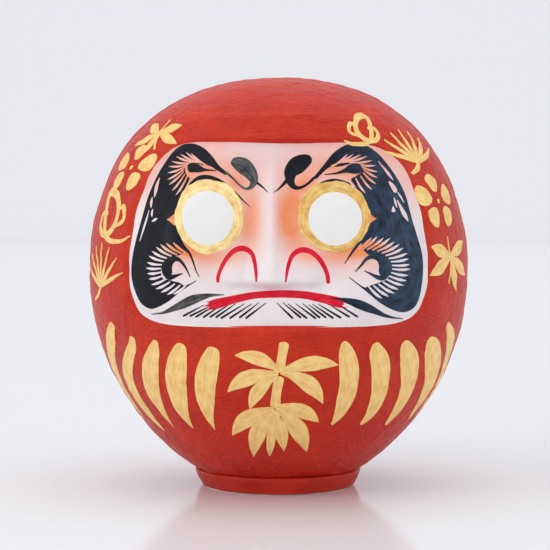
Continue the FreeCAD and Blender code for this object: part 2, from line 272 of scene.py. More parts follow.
def make_piece(name, sheets, material, replaced=()):
    """Makes a finished piece that rides on the doll's one body.

    Each sheet is a dict: outside and inside are grids of points in millimetres, brush is an
    optional grid of (along, across) places for the stroke's streaks, and shades are optional
    named grids of numbers, read by the material."""
    places, faces, brush, shades = [], [], [], {}
    start = 0
    for sheet in sheets:
        outside, stride = sheet["outside"], sheet.get("stride", 1)
        inside = sheet["inside"][::stride, ::stride]
        rows, columns = outside.shape[:2]
        faces += sheet_faces(rows, columns, stride, sheet.get("closed", False), start)
        for grid in (outside, inside):
            places.append(grid.reshape(-1, 3))
        marks = sheet.get("brush", np.zeros(outside.shape[:2] + (2,)))
        brush += [marks.reshape(-1, 2), marks[::stride, ::stride].reshape(-1, 2)]
        for key, grid in sheet.get("shades", {}).items():
            shades.setdefault(key, []).extend([grid.ravel(), grid[::stride, ::stride].ravel()])
        start += sum(len(part) for part in places[-2:])
    mesh = bpy.data.meshes.new(name)
    mesh.from_pydata((np.concatenate(places) * MM).tolist(), [], faces)
    corner = np.zeros(len(mesh.loops), np.int32)
    mesh.loops.foreach_get("vertex_index", corner)
    strokes = mesh.uv_layers.new(name="brush")
    strokes.data.foreach_set("uv", (np.concatenate(brush) * MM)[corner].ravel())
    for key, grids in shades.items():
        shade = mesh.attributes.new(key, "FLOAT", "POINT")
        shade.data.foreach_set("value", np.concatenate(grids))
    mesh.polygons.foreach_set("use_smooth", np.ones(len(mesh.polygons), bool))
    mesh.set_sharp_from_angle(angle=math.radians(48))
    mesh.materials.append(material)
    piece = bpy.data.objects.new(name, mesh)
    bpy.context.scene.collection.objects.link(piece)
    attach(piece, BODY)
    if replaced:
        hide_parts(*replaced)


def add_node(tree, kind, inputs=(), **settings):
    """A shader node. inputs gives its sockets, by name or number, a value or another node's output."""
    made = tree.nodes.new(kind)
    for key, value in settings.items():
        setattr(made, key, value)
    for key, value in dict(inputs).items():
        if isinstance(value, bpy.types.NodeSocket):
            tree.links.new(value, made.inputs[key])
        else:
            made.inputs[key].default_value = value
    return made


def calculate(tree, operation, *values):
    """The output of a Math node. Each value is a number or another node's output."""
    return add_node(tree, "ShaderNodeMath", dict(enumerate(values)), operation=operation).outputs[0]


def add_bump(tree, shader, height, strength, distance):
    """Bumps on a shader: distance is in metres."""
    bump = add_node(tree, "ShaderNodeBump", {"Height": height, "Strength": strength, "Distance": distance})
    tree.links.new(bump.outputs["Normal"], shader.inputs["Normal"])


def new_group(name, wanted, given):
    """An empty shader node group with named inputs and outputs, and its two end nodes."""
    group = bpy.data.node_groups.new(name, "ShaderNodeTree")
    for key, (kind, value) in wanted.items():
        socket = group.interface.new_socket(key, in_out="INPUT", socket_type=kind)
        if kind == "NodeSocketFloat":
            socket.default_value = value
    for key in given:
        group.interface.new_socket(key, in_out="OUTPUT", socket_type="NodeSocketFloat")
    return group, group.nodes.new("NodeGroupInput"), group.nodes.new("NodeGroupOutput")


def make_pulp_group():
    """Pulp under a coat of colour: fibres' bumps of a few millimetres, and cloudy unevenness."""
    group, given, out = new_group(
        "pulp",
        {"Vector": ("NodeSocketVector", None), "Bump Size": ("NodeSocketFloat", 0.0025)},
        ("Height", "Cloud"),
    )
    fine = calculate(group, "DIVIDE", 1.0, given.outputs["Bump Size"])
    laid = add_node(
        group, "ShaderNodeVectorMath", {0: given.outputs["Vector"], 1: (1, 1, 2.4)}, operation="MULTIPLY"
    )
    bumps = add_node(
        group,
        "ShaderNodeTexNoise",
        {"Vector": laid.outputs[0], "Scale": fine, "Detail": 3.0, "Roughness": 0.55},
    )
    coarse = calculate(group, "MULTIPLY", fine, 0.33)
    creases = add_node(
        group, "ShaderNodeTexVoronoi", {"Vector": laid.outputs[0], "Scale": coarse}, feature="SMOOTH_F1"
    )
    height = calculate(group, "MULTIPLY_ADD", creases.outputs["Distance"], 0.7, bumps.outputs["Fac"])
    cloud = add_node(
        group,
        "ShaderNodeTexNoise",
        {"Vector": given.outputs["Vector"], "Scale": 38.0, "Detail": 4.0, "Roughness": 0.6},
    )
    group.links.new(height, out.inputs["Height"])
    group.links.new(cloud.outputs["Fac"], out.inputs["Cloud"])
    return group


def new_material(name, roughness, metallic=0.0, shine=0.5):
    """A material, its tree and its Principled shader, with the values that are the same all over."""
    material = bpy.data.materials.new(name)
    material.use_nodes = True
    shader = material.node_tree.nodes["Principled BSDF"]
    shader.inputs["Roughness"].default_value = roughness
    shader.inputs["Metallic"].default_value = metallic
    shader.inputs["Specular IOR Level"].default_value = shine
    return material, material.node_tree, shader


def blend_colours(tree, factor, first, second):
    """A Mix node between two colours. Each is a colour or another node's output."""
    sockets = {0: factor, 6: first, 7: second}
    return add_node(tree, "ShaderNodeMix", sockets, data_type="RGBA").outputs[2]


def spread(tree, value, low, high, start=0.0, end=1.0):
    """Stretches the values from low to high over start to end."""
    sockets = {"Value": value, "From Min": low, "From Max": high, "To Min": start, "To Max": end}
    return add_node(tree, "ShaderNodeMapRange", sockets).outputs["Result"]


PULP = make_pulp_group()


def make_dipped_red(name, bump_size, bump_depth, deep, bright):
    """Red colour dipped over pulp: deeper in its clouds, and satin where it pooled."""
    material, tree, shader = new_material(name, 0.42, shine=0.24)
    spot = add_node(tree, "ShaderNodeTexCoord").outputs["Object"]
    pulp = add_node(tree, "ShaderNodeGroup", node_tree=PULP)
    tree.links.new(spot, pulp.inputs["Vector"])
    pulp.inputs["Bump Size"].default_value = bump_size
    cloud = spread(tree, pulp.outputs["Cloud"], 0.3, 0.7)
    tree.links.new(blend_colours(tree, cloud, deep, bright), shader.inputs["Base Color"])
    gloss = spread(tree, pulp.outputs["Cloud"], 0.0, 1.0, 0.30, 0.46)
    tree.links.new(gloss, shader.inputs["Roughness"])
    add_bump(tree, shader, pulp.outputs["Height"], 0.8, bump_depth)
    return material


robe_red = make_dipped_red(
    "robe_red", 0.0030, 0.0022, (0.50, 0.014, 0.002, 1), (0.64, 0.030, 0.005, 1)
)


def half_shell(side):
    """One half of the shell as a sheet: side is 1 for the front and -1 for the back."""
    radius, height = body_outline(SHELL_GRAIN, SHELL_FOOT, CROWN_HOLE)
    columns = 4 * round(math.pi * BODY_RADIUS / SHELL_GRAIN / 4) + 1
    turn = np.linspace(-math.pi / 2, math.pi / 2, columns)
    if side < 0:
        turn = turn + math.pi
    radius, height, angle = radius[:, None] + 0 * turn, height[:, None] + 0 * turn, turn + 0 * height[:, None]
    dent = np.zeros_like(angle)
    if side > 0:
        hidden = 1 - smooth_step(0.93, 0.975, ground_reach(radius * np.sin(angle), height))
        dent = recess(angle, height) + 1.0 * hidden
    outside = on_round(radius, angle, height, 0.0, dent)
    inside = on_round(radius, angle, height, -PAPER_WALL, dent)
    return {"outside": outside, "inside": inside, "stride": 4}


make_piece("front_shell_paper", [half_shell(1)], robe_red, ["front_shell"])

# Back half of the shell: the same pulp from the plain half of the mould, trimmed and glued to the
# front half along the sides and over the crown.
make_piece("back_shell_paper", [half_shell(-1)], robe_red, ["back_shell"])

# Joint strips and crown patch: tough thin paper glued over the joint of the two halves before the
# doll is dipped, so they show only as low bands under the red.
strip_half_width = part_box("seam_strip_right")[1].y / MM
patch_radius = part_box("crown_patch")[1].x / MM
strip_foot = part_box("seam_strip_right")[0].z / MM
STRIP_LIFT = 0.42
STRIP_ROOT = -0.5  # the undersides of the strips and the patch lie a little under the shell's skin


def edge_fade(v, edge=0.8):
    """1 in the middle of a sheet and low at its two edges, where v is -1 and 1."""
    return 1 - edge * np.abs(v) ** 6


def disc_grid(count):
    """(across, up) grids that fill a circle of radius 1: a square grid with its sides bent round."""
    u, v = np.meshgrid(np.linspace(-1, 1, count), np.linspace(-1, 1, count))
    return u * np.sqrt(1 - v**2 / 2), v * np.sqrt(1 - u**2 / 2)


def paint_rise(level, v):
    """Rise of a coat of paint that is thinner by a hair at its edges, where v is -1 and 1."""
    return level - 0.12 * np.abs(v) ** 6


for name, side in (("seam_strip_left", -1), ("seam_strip_right", 1)):
    radius, height = body_outline(1.3, strip_foot, patch_radius)
    v = np.linspace(-1, 1, 17)
    ragged = 0.35 * np.sin(height / 5.3 + side) + 0.25 * np.sin(height / 2.1)
    half_turn = np.arcsin(np.clip((strip_half_width - 0.6 + ragged) / radius, 0, 1))[:, None]
    angle = side * math.pi / 2 + v * half_turn
    radius, height = radius[:, None] + 0 * v, height[:, None] + 0 * v
    strip = {
        "outside": on_round(radius, angle, height, STRIP_LIFT * edge_fade(v) + 0 * angle),
        "inside": on_round(radius, angle, height, STRIP_ROOT + 0 * angle),
    }
    make_piece(name + "_paper", [strip], robe_red, [name])

patch_across, patch_along = disc_grid(41)
share = np.hypot(patch_across, patch_along)
radius = patch_radius * np.clip(share, 1e-4, 1)
height = WAIST + CROWN_REACH * (1 - (radius / BODY_RADIUS) ** CROWN_POWER) ** (1 / CROWN_POWER)
angle = np.arctan2(patch_across, -patch_along)
crown_patch = {
    "outside": on_round(radius, angle, height, STRIP_LIFT * edge_fade(share)),
    "inside": on_round(radius, angle, height, STRIP_ROOT + 0 * angle),
}
make_piece("crown_patch_paper", [crown_patch], robe_red, ["crown_patch"])

# Foot: a pressed pulp ring that the shell is glued into, with a soft upper edge and a shadow line
# where the two meet. A clay lump in its bore makes the doll right itself.
ring_low, ring_high = (np.array(corner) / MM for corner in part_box("foot_ring"))
ring_rim = ring_high[0]
ring_height = ring_high[2]
ring_sole = ring_rim - 4.4
RING_WALL = 4.5
SEAT_WALL = 3.2
seat_radius = float(body_radius(ring_height)) - 0.9

FOOT_SIDE = [  # (radius, height) from the sole, over the rim, down to where it meets the shell
    (ring_sole - 0.9, ring_low[2]),
    (ring_sole - 0.1, ring_low[2] + 0.2),
    (ring_sole + 0.6, ring_low[2] + 0.9),
    (ring_sole + 2.7, ring_low[2] + 5.0),
    (ring_rim - 0.4, ring_height - 2.2),
    (ring_rim - 0.1, ring_height - 1.2),
    (ring_rim - 0.4, ring_height - 0.4),
    (ring_rim - 1.1, ring_height - 0.05),
    (seat_radius, ring_height - 0.1),
]


def smooth_line(points, spacing):
    """Evenly spaced places on a Catmull-Rom curve through given points.

    Between two points, each number is a cubic whose slope at a point is half the step from the
    point before it to the point after it."""
    points = np.array(points, float)
    padded = np.vstack([2 * points[0] - points[1], points, 2 * points[-1] - points[-2]])
    t = np.linspace(0, 1, 24, endpoint=False)[None, :, None]
    a, b, c, d = (padded[i : len(padded) - 3 + i, None, :] for i in range(4))
    curve = b + t / 2 * (c - a + t * (2 * a - 5 * b + 4 * c - d + t * (3 * (b - c) + d - a)))
    curve = np.vstack([curve.reshape(-1, points.shape[1]), points[-1:]])
    walked = np.concatenate([[0], np.cumsum(np.hypot(*np.diff(curve[:, :2], axis=0).T))])
    even = np.linspace(0, walked[-1], max(4, round(walked[-1] / spacing)) + 1)
    return np.stack([np.interp(even, walked, column) for column in curve.T], axis=1), even


profile, _ = smooth_line(FOOT_SIDE, 0.7)
turn = np.linspace(0, 2 * math.pi, 288, endpoint=False)
waver = 0.22 * np.sin(3 * turn + 1) + 0.15 * np.sin(7 * turn) + 0.1 * np.sin(16 * turn + 2)
foot_outer = profile[None, :, 0] + waver[:, None]
foot_inner = np.minimum(profile[None, :, 0] - RING_WALL, seat_radius - SEAT_WALL) + 0 * waver[:, None]
foot_grids = {}
for key, radius in (("outside", foot_outer), ("inside", foot_inner)):
    across, depth = radius * np.sin(turn)[:, None], -radius * np.cos(turn)[:, None]
    foot_grids[key] = np.stack([across, depth, profile[None, :, 1] + 0 * radius], axis=-1)[:, ::-1]
pulp_dents = 0.16 * ripple(DIMPLES, foot_grids["outside"]) + 0.12 * ripple(CREASES, foot_grids["outside"])
outward = foot_grids["outside"] * np.array([1, 1, 0])
outward /= np.linalg.norm(outward, axis=-1, keepdims=True)
foot_grids["outside"] = foot_grids["outside"] + pulp_dents[..., None] * outward
foot_grids["outside"][..., 2] = np.maximum(foot_grids["outside"][..., 2], ring_low[2])
foot_sheet = {"outside": foot_grids["outside"], "inside": foot_grids["inside"], "closed": True}
# The foot's red is the robe's red made darker: painted shade low on the doll, by the floor.
foot_red_shaded = make_dipped_red("foot_red_shaded", 0.002, 0.0006, (0.44, 0.017, 0.005, 1), (0.56, 0.030, 0.009, 1))
make_piece("foot_ring_pulp", [foot_sheet], foot_red_shaded, ["foot_ring"])


def make_plain_stock(name, roughness, light, dark, size, depth):
    """Undyed clay, board or paper: two close tones in grains of one size, with a shallow bump."""
    material, tree, shader = new_material(name, roughness)
    spot = add_node(tree, "ShaderNodeTexCoord").outputs["Object"]
    grain = add_node(tree, "ShaderNodeTexNoise", {"Vector": spot, "Scale": 1 / size, "Detail": 6.0})
    fleck = spread(tree, grain.outputs["Fac"], 0.35, 0.65)
    tree.links.new(blend_colours(tree, fleck, dark, light), shader.inputs["Base Color"])
    add_bump(tree, shader, grain.outputs["Fac"], 0.6, depth)
    return material


# Inside the foot: unfired clay, a disc of grey board under it, and pale paper glued over the
# underside. Their solids are the right shape, so they only take their materials.
underside_stock = {
    "clay_weight": ("raw_clay", 0.85, (0.36, 0.27, 0.2, 1), (0.24, 0.17, 0.12, 1), 0.004, 0.0004),
    "base_board": ("grey_board", 0.9, (0.42, 0.36, 0.29, 1), (0.3, 0.25, 0.2, 1), 0.0012, 0.0001),
    "base_paper": ("pale_paper", 0.8, (0.78, 0.74, 0.66, 1), (0.66, 0.61, 0.52, 1), 0.0016, 0.0001),
}
for node_name, recipe in underside_stock.items():
    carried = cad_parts[node_name]
    carried.data.materials.clear()
    carried.data.materials.append(make_plain_stock(*recipe))

# White face: shell-white ground brushed into the sunken face after the red has dried, with its edge
# drawn by hand. Orange is dabbed round the eyes while it is damp, and rose along the brow.
FILM_ROOT = -0.3  # a film's underside lies this far under the skin
GROUND_ROOT = -0.7
PAINT_LEVEL = {  # rise of each film in millimetres: what is painted later lies higher
    "ground": 0.28,
    "gold": 0.34,
    "band": 0.42,
    "nostril": 0.42,
    "lid": 0.43,
    "side_picture": 0.45,
    "tail": 0.46,
    "curl": 0.50,
    "whisker": 0.50,
    "mouth_end": 0.50,
    "eye_corner": 0.52,
    "mouth": 0.54,
    "moustache": 0.56,
    "hair": 0.58,
    "ring": 0.62,
    "ink_eye": 0.66,
    "eye_white": 0.74,
}


def face_angle(across, height):
    """Angle round the axis of the front's place at a distance across, found by repeated halfway steps."""
    angle = np.arcsin(np.clip(across / BODY_RADIUS, -0.95, 0.95))
    for _ in range(22):
        reach = body_radius(height) - recess(angle, height)
        angle = 0.4 * angle + 0.6 * np.arcsin(np.clip(across / reach, -0.999, 0.999))
    return angle


def on_front(across, height, rise):
    """Points of the front, given as seen from straight ahead: millimetres across, and height."""
    angle = face_angle(across, height)
    return on_round(body_radius(height), angle, height, rise, recess(angle, height))


BLUSH = {  # how the dabs lie: (out from the nose, height, width, tallness, strength)
    "orange": [
        (10, 170, 9, 12, 0.95),
        (11, 156, 9, 11, 0.85),
        (20, 181, 6.5, 5.5, 0.75),
        (17, 144, 7, 6, 0.4),
        (32, 141.5, 14, 5.5, 0.8),
        (47, 147, 8, 7, 0.95),
        (56, 145.5, 9, 4.5, 0.7),
        (36, 188, 13, 5.5, 0.6),
        (50, 184, 6, 8, 0.6),
        (55, 161.5, 4, 4, 1.0),
    ],
    "rose": [
        (62, 199, 16, 9, 0.8),
        (74, 184, 8, 16, 0.75),
        (42, 203, 30, 4, 0.55),
        (18, 194, 28, 14, 0.6),
        (40, 190, 22, 10, 0.6),
        (54, 136, 5, 5, 0.55),
        (38, 136, 12, 8, 0.45),
        (55, 178, 14, 16, 0.5),
        (12, 163, 11, 20, 0.65),
        (14, 184, 9, 9, 0.45),
    ],
}


def blush_shades(across, height):
    """Strength of each blush: the dabs are bells, added up. Left of the nose they are weaker and the orange
    keeps further off the ridge, as painted light on the nose's flank that faces the window.
    """
    side = nose_side(across)
    out = np.abs(side)
    shades = {}
    for key, dabs in BLUSH.items():
        total = np.zeros(across.shape)
        for place, level, width, tallness, strength in dabs:
            bell = np.exp(-(((out - place) / width) ** 2) - ((height - level) / tallness) ** 2)
            total += strength * bell
        # painted light: the nose's left flank, lit by the window, is kept paler than the blush round it
        painted_light_nose_flank = np.exp(-(((out - 11) / 10) ** 2)) * (side < 0)
        ridge = smooth_step(-4, 5, out - 6 * (side < 0)) if key == "orange" else 1.0
        shades[key] = np.clip(total, 0, 1) * (1 - 0.25 * painted_light_nose_flank) * ridge
    return shades


def make_face_white():
    """Chalky white with orange and rose dabs, uneven where the brush has dried in patches."""
    material, tree, shader = new_material("face_white", 0.45, shine=0.35)
    spot = add_node(tree, "ShaderNodeTexCoord").outputs["Object"]
    patches = add_node(tree, "ShaderNodeTexNoise", {"Vector": spot, "Scale": 95.0, "Detail": 5.0})
    patch = spread(tree, patches.outputs["Fac"], 0.3, 0.7)
    colour = blend_colours(tree, patch, (0.77, 0.70, 0.715, 1), (0.83, 0.765, 0.775, 1))
    for key, paint in (("rose", (0.82, 0.43, 0.37, 1)), ("orange", (0.84, 0.26, 0.10, 1))):
        dab = add_node(tree, "ShaderNodeAttribute", attribute_name=key)
        dry = spread(tree, patches.outputs["Fac"], 0.0, 1.0, 0.6, 1.35)
        amount = calculate(tree, "MULTIPLY", dab.outputs["Fac"], dry)
        amount.node.use_clamp = True
        colour = blend_colours(tree, amount, colour, paint)
    tree.links.new(colour, shader.inputs["Base Color"])
    pulp = add_node(tree, "ShaderNodeGroup", {"Vector": spot}, node_tree=PULP)
    pulp.inputs["Bump Size"].default_value = 0.004
    add_bump(tree, shader, pulp.outputs["Height"], 0.25, 0.0004)
    return material


face_white = make_face_white()

rows = np.sin(np.linspace(-0.999, 0.999, 149) * math.pi / 2)
tall = np.abs(rows)
rows = FACE_MIDDLE + rows * np.where(rows > 0, FACE_HALF_HEIGHT, FACE_MIDDLE - GROUND_BOTTOM)
v = np.linspace(-1, 1, 193)
power = corner_power(rows)
row_width = face_half_width(rows) * (1 - tall**power) ** (1 / power) - jaw_slimming(rows)
across = v * row_width[:, None]
height = rows[:, None] + 0 * v
waver = 0.35 * np.sin(height / 9) + 0.25 * np.sin(height / 3.7 + 1)
across = across + waver * np.abs(v) ** 8 * np.sign(v)
low_edge, high_edge = smooth_step(122, 103, height), smooth_step(188, 203, height)
height = height + low_edge * (0.7 - 1.0 * np.clip(np.abs(across) / 66, 0, 1) ** 2)
height = height - high_edge * (0.006 * across + 0.2 * np.sin(across / 7))
face_edge = np.maximum(np.abs(v) ** 24, (tall**40)[:, None])
ground = {
    "outside": on_front(across, height, PAINT_LEVEL["ground"] * (1 - 0.45 * face_edge)),
    "inside": on_front(across, height, GROUND_ROOT + 0 * across),
    "shades": blush_shades(across, height),
    "stride": 4,
}
make_piece("face_ground", [ground], face_white)

# Eyes: a plain white disc, left blank for the owner to fill in, in a ring of gold paint that the
# brush has gone round twice.
EYES = {  # (out, height, half width, half height) of the ring's outline and of the white's
    "right": ((33.2, 163.0, 19.3, 19.5), (34.0, 161.8, 14.1, 14.6)),
    "left": ((35.6, 163.0, 20.1, 20.3), (36.4, 162.2, 15.1, 14.8)),
}
SIDES = {"left": -1, "right": 1}
RING_OVERLAP = 0.8


def from_nose(out, side):
    """Distance across of a place measured out from the nose: side is 1 on the right and -1 on the left."""
    return side * out - NOSE_OFFSET * np.clip(1 - (out / NOSE_FADE) ** 2, 0, None)


def make_brush_group():
    """Streaks of a brush along a stroke, from its own (along, across) places."""
    group, given, out = new_group(
        "brush",
        {
            "Vector": ("NodeSocketVector", None),
            "Across": ("NodeSocketFloat", 900.0),
            "Along": ("NodeSocketFloat", 90.0),
        },
        ("Streak", "Pool"),
    )
    across = add_node(group, "ShaderNodeCombineXYZ")
    group.links.new(given.outputs["Along"], across.inputs["X"])
    group.links.new(given.outputs["Across"], across.inputs["Y"])
    ends = {0: given.outputs["Vector"], 1: across.outputs[0]}
    spot = add_node(group, "ShaderNodeVectorMath", ends, operation="MULTIPLY")
    streak = add_node(
        group, "ShaderNodeTexNoise", {"Vector": spot.outputs[0], "Scale": 1.0, "Detail": 3.0}
    )
    pool = add_node(
        group, "ShaderNodeTexNoise", {"Vector": given.outputs["Vector"], "Scale": 160.0, "Detail": 4.0}
    )
    group.links.new(streak.outputs["Fac"], out.inputs["Streak"])
    group.links.new(pool.outputs["Fac"], out.inputs["Pool"])
    return group


BRUSH = make_brush_group()


def make_brushed(name, thin, thick, roughness, metallic, depth, wet=(0.3, 0.7), far=None, shine=0.5):
    """Paint laid on by brush: thin and thick are its colours where it streaks and where it pools.

    far is a painted sheen: the colour that it leans to on the doll's right, away from the window, standing in
    for the white room's light reflected in the glossy paint."""
    material, tree, shader = new_material(name, roughness, metallic, shine)
    brush = add_node(tree, "ShaderNodeGroup", node_tree=BRUSH)
    tree.links.new(add_node(tree, "ShaderNodeUVMap", uv_map="brush").outputs[0], brush.inputs["Vector"])
    both = calculate(tree, "ADD", brush.outputs["Streak"], brush.outputs["Pool"])
    half = calculate(tree, "MULTIPLY", both, 0.5)
    cover = spread(tree, half, *wet)
    colour = blend_colours(tree, cover, thin, thick)
    if far:
        spot = add_node(tree, "ShaderNodeTexCoord").outputs["Object"]
        place = add_node(tree, "ShaderNodeSeparateXYZ", {0: spot})
        # painted sheen: towards the doll's right the colour leans to far, for reflected room light
        lean = spread(tree, place.outputs["X"], 0.028, 0.066)
        colour = blend_colours(tree, calculate(tree, "MULTIPLY", lean, cover), colour, far)
    tree.links.new(colour, shader.inputs["Base Color"])
    add_bump(tree, shader, half, 0.5, depth)
    return material


gold_paint = make_brushed(
    "gold_paint", (0.78, 0.43, 0.12, 1), (0.96, 0.68, 0.26, 1), 0.42, 0.2, 0.0003, (0.34, 0.58), shine=0.35
)
# Both rings are one gold paint: the left copy is lighter as painted light from the left window, the right
# copy darker as painted shade.
ring_gold = {
    "right": make_brushed(
        "ring_gold_shaded_right", (0.60, 0.29, 0.05, 1), (0.86, 0.60, 0.20, 1), 0.42, 0.15, 0.0003, (0.38, 0.60)
    ),
    "left": make_brushed(
        "ring_gold_lit_left", (0.76, 0.42, 0.11, 1), (0.95, 0.78, 0.36, 1), 0.42, 0.15, 0.0003, (0.36, 0.56)
    ),
}
blank_white = make_plain_stock(
    "blank_white", 0.5, (0.81, 0.80, 0.775, 1), (0.78, 0.775, 0.76, 1), 0.006, 0.00005
)

for name, (ring_shape, white_shape) in EYES.items():
    side = SIDES[name]
    turn = np.linspace(0, 2 * math.pi, 120, endpoint=False)[:, None]
    v = np.linspace(-1, 1, 9)
    waver = 0.28 * np.sin(5 * turn + side) + 0.22 * np.sin(9 * turn) + 0.12 * np.sin(23 * turn)
    share = (1 + v) / 2
    under_white = np.array(white_shape) - (0, 0, RING_OVERLAP, RING_OVERLAP)
    out, level, wide, tall = (near + share * (far - near) for near, far in zip(under_white, ring_shape))
    across = from_nose(out + (wide + waver * share) * np.sin(turn), side)
    height = level - (tall + waver * share) * np.cos(turn) * side
    ring = {
        "outside": on_front(across, height, paint_rise(PAINT_LEVEL["ring"], v) + 0 * across),
        "inside": on_front(across, height, FILM_ROOT + 0 * across),
        "brush": np.stack([turn * ring_shape[2] + 0 * v, v * 2.6 + 0 * turn], axis=-1),
        "closed": True,
    }
    make_piece("eye_ring_" + name, [ring], ring_gold[name])
    disc_across, disc_up = disc_grid(33)
    out, level, wide, tall = white_shape
    across = from_nose(out + side * wide * disc_across, side)
    height = level + tall * disc_up
    rise = paint_rise(PAINT_LEVEL["eye_white"], np.hypot(disc_across, disc_up))
    white = {
        "outside": on_front(across, height, rise),
        "inside": on_front(across, height, FILM_ROOT + 0 * across),
    }
    make_piece("eye_white_" + name, [white], blank_white)

# Brow and beard: black ink laid on thick round each eye from the brow to the jaw, the crane over the
# eye and the tortoise under it. The brush goes on thin at the nose and lifts off in a point.
RIGHT_BAND = [  # across the band: (out, height) of its outer edge, then of its inner edge
    (23.2, 184.9, 24.2, 183.3),
    (28.5, 191.5, 30.8, 189.6),
    (33.0, 197.3, 35.5, 190.2),
    (38.0, 201.2, 39.0, 190.8),
    (43.0, 203.0, 42.5, 192.0),
    (48.0, 202.9, 45.5, 192.5),
    (53.0, 201.0, 47.9, 191.2),
    (58.0, 197.0, 48.4, 189.0),
    (62.5, 191.0, 47.7, 186.8),
    (66.3, 184.8, 45.0, 185.0),
    (69.5, 178.5, 42.8, 183.0),
    (72.0, 171.5, 46.0, 177.5),
    (75.5, 157.7, 51.0, 160.5),
    (78.6, 147.5, 48.0, 148.5),
    (80.5, 140.0, 51.0, 142.6),
    (81.0, 132.0, 59.5, 139.5),
    (80.4, 124.5, 62.5, 134.0),
    (79.0, 117.0, 61.3, 129.0),
    (76.2, 111.6, 57.5, 127.2),
    (71.0, 109.3, 54.0, 126.0),
    (65.6, 110.5, 51.2, 125.0),
    (58.0, 115.2, 49.2, 124.5),
    (50.0, 122.3, 45.5, 127.0),
    (41.4, 129.7, 41.6, 130.1),
]
LEFT_BAND = [
    (25.0, 187.0, 26.0, 185.6),
    (29.5, 190.5, 31.0, 188.2),
    (33.5, 195.5, 35.5, 190.6),
    (38.0, 199.7, 39.5, 191.0),
    (43.0, 202.2, 43.0, 192.0),
    (48.0, 203.0, 46.5, 193.0),
    (53.5, 201.8, 49.6, 191.8),
    (58.5, 198.2, 50.3, 189.5),
    (63.0, 192.6, 50.0, 187.3),
    (67.0, 186.5, 48.8, 185.0),
    (70.5, 179.8, 47.3, 183.3),
    (73.8, 172.0, 50.0, 177.5),
    (77.6, 157.6, 56.0, 161.5),
    (80.0, 148.5, 52.0, 151.0),
    (81.8, 140.5, 51.0, 143.0),
    (82.7, 132.0, 61.0, 140.0),
    (82.0, 125.5, 64.0, 134.0),
    (79.8, 119.0, 63.2, 129.3),
    (76.6, 113.7, 60.0, 128.3),
    (71.5, 111.2, 56.0, 127.5),
    (66.3, 112.5, 52.5, 126.8),
    (59.5, 116.2, 50.5, 125.5),
    (52.0, 122.0, 47.0, 126.2),
    (42.9, 127.8, 43.0, 128.2),
]


def face_sheet(out, height, side, rise, brush):
    """A film on one side of the face, from distances out from the nose and heights."""
    across = from_nose(out, side)
    shades = blush_shades(across, height)
    sheet = {
        "outside": on_front(across, height, rise),
        "inside": on_front(across, height, FILM_ROOT + 0 * across),
        "brush": brush,
        "shades": shades,
    }
    if side < 0:
        for key in ("outside", "inside", "brush"):
            sheet[key] = sheet[key][:, ::-1]
        sheet["shades"] = {key: grid[:, ::-1] for key, grid in shades.items()}
    return sheet


def banded(ribs, side, level):
    """A film between two edges: straight ribs across it, on smooth curves through the given ones."""
    ribs = np.array(ribs)
    middle = np.hstack([(ribs[:, :2] + ribs[:, 2:]) / 2, (ribs[:, :2] - ribs[:, 2:]) / 2])
    line, walked = smooth_line(middle, 1.0)
    widest = np.hypot(line[:, 2], line[:, 3]).max()
    v = np.linspace(-1, 1, 2 * math.ceil(widest / 1.2) + 5)
    out = line[:, :1] - v * line[:, 2:3]
    height = line[:, 1:2] - v * line[:, 3:4]
    brush = np.stack([walked[:, None] + 0 * v, v * widest + 0 * out], axis=-1)
    return face_sheet(out, height, side, paint_rise(level, v) + 0 * out, brush)


def brushed_grid(points, unit=1.0, spacing=0.8):
    """(across, up, v, along) grids of one brush stroke through (across, up, width) points.

    The stroke is its centre line plus v times half its width, at right angles to the line. Its
    ends are rounded by a quarter circle, and its edges waver. unit is the size in millimetres of
    one step across."""
    points = np.array(points, float) * (unit, 1, 1)
    line, walked = smooth_line(points, spacing)
    length = walked[-1]
    first, last = max(points[0, 2] / 2, 0.1), max(points[-1, 2] / 2, 0.1)
    corner = 1 - np.cos(np.linspace(0, math.pi / 2, 6))
    even = np.unique(np.concatenate([walked, first * corner, length - last * corner]).round(3))
    even = even[(even >= 0) & (even <= length)]
    line = np.stack([np.interp(even, walked, column) for column in line.T], axis=1)
    heading = np.gradient(line[:, :2], even, axis=0)
    heading /= np.linalg.norm(heading, axis=1, keepdims=True)
    half = line[:, 2] / 2
    for reach, gap in ((0.7 * first, even), (0.7 * last, length - even)):
        half = half * np.sqrt(np.clip(1 - (1 - np.clip(gap / reach, 0, 1)) ** 2, 0.004, 1))
    phase = rng.uniform(0, 6.28, 4)
    v = np.linspace(-1, 1, 2 * math.ceil(points[:, 2].max() / 2.4) + 5)
    waver = 0.035 * np.sin(even / 3.3 + phase[0]) + 0.025 * np.sin(even / 1.1 + phase[1])
    other = 0.035 * np.sin(even / 3.9 + phase[2]) + 0.025 * np.sin(even / 1.3 + phase[3])
    edge = 1 + np.where(v > 0, waver[:, None], other[:, None]) * np.abs(v) / (1 + 0.8 * half[:, None])
    reach = v * edge * half[:, None]
    across = (line[:, :1] + reach * heading[:, 1:2]) / unit
    up = line[:, 1:2] - reach * heading[:, 0:1]
    return across, up, v + 0 * across, even[:, None] + 0 * across, reach


def face_stroke(points, side, level, spacing=0.8):
    """One brush stroke on the face, through (out, height, width) points, with its rise."""
    out, height, v, along, reach = brushed_grid(points, spacing=spacing)
    return face_sheet(out, height, side, paint_rise(level, v), np.stack([along, reach], axis=-1))


# Black ink whose dark blue on the doll's right is a painted sheen of reflected room light.
black_ink = make_brushed(
    "black_ink",
    (0.005, 0.005, 0.007, 1),
    (0.012, 0.014, 0.021, 1),
    0.4,
    0.0,
    0.00012,
    (0.35, 0.65),
    (0.036, 0.078, 0.145, 1),
    0.14,
)
# Grey ink for the left brow and the left moustache: its grey stands partly for thin, washed ink and partly
# for a painted reflection of the left window in the glossy ink.
thin_ink_and_sheen = make_brushed(
    "thin_ink_and_sheen", (0.130, 0.130, 0.135, 1), (0.010, 0.010, 0.013, 1), 0.42, 0.0, 0.0001, (0.40, 0.62), shine=0.2
)

